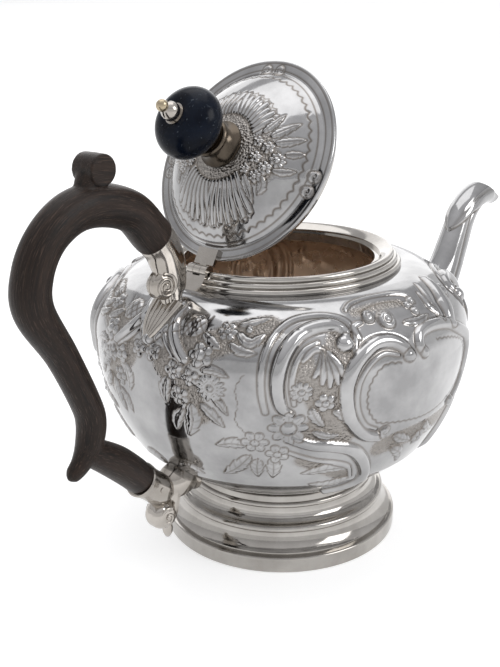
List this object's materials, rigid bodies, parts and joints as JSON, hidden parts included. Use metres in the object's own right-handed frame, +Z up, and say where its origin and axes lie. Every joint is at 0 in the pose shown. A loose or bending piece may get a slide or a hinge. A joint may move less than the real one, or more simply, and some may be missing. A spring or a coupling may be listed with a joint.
{
  "type": "teapot",
  "caption": "Silver teapot with a round chased body on a spun foot, a hinged domed lid with a dark bead knob, a swan-neck spout and a dark wooden scroll handle.",
  "frame": {"origin": "middle of the foot on the table", "axes": "+X towards the spout, +Z up, +Y to the left of someone looking along +X"},
  "size_m": [0.2791, 0.141, 0.1802],
  "materials": {
    "silver": "polished silver, chased",
    "handle_wood": "dark brown open-grained wood, waxed",
    "knob_bead": "blackened bead, satin",
    "ball_brass": "dull"
  },
  "bodies": {
    "pot": {"body_shell": "silver", "mouth_rim": "silver", "foot": "silver", "foot_rim": "silver", "spout": "silver", "handle": "handle_wood", "upper_socket": "silver", "lower_socket": "silver", "upper_socket_pin": "silver", "lower_socket_pin": "silver", "hinge_bracket": "silver", "hinge_knuckle_near": "silver", "hinge_knuckle_far": "silver", "hinge_pin": "silver"},
    "lid": {"lid_shell": "silver", "lid_bezel": "silver", "lid_hinge_leaf": "silver", "lid_hinge_knuckle": "silver", "knob_collar": "silver", "knob": "knob_bead", "knob_washer": "silver", "knob_nut": "silver", "finial_ball": "ball_brass", "knob_bolt": "silver", "bolt_washer": "silver"}
  },
  "joints": [
    {"name": "lid_hinge", "type": "hinge", "parent": "pot", "child": "lid", "pos_m": [-0.0422, 0, 0.1127], "axis": [0, -1, 0], "range_deg": [-59.4, 20]}
  ]
}
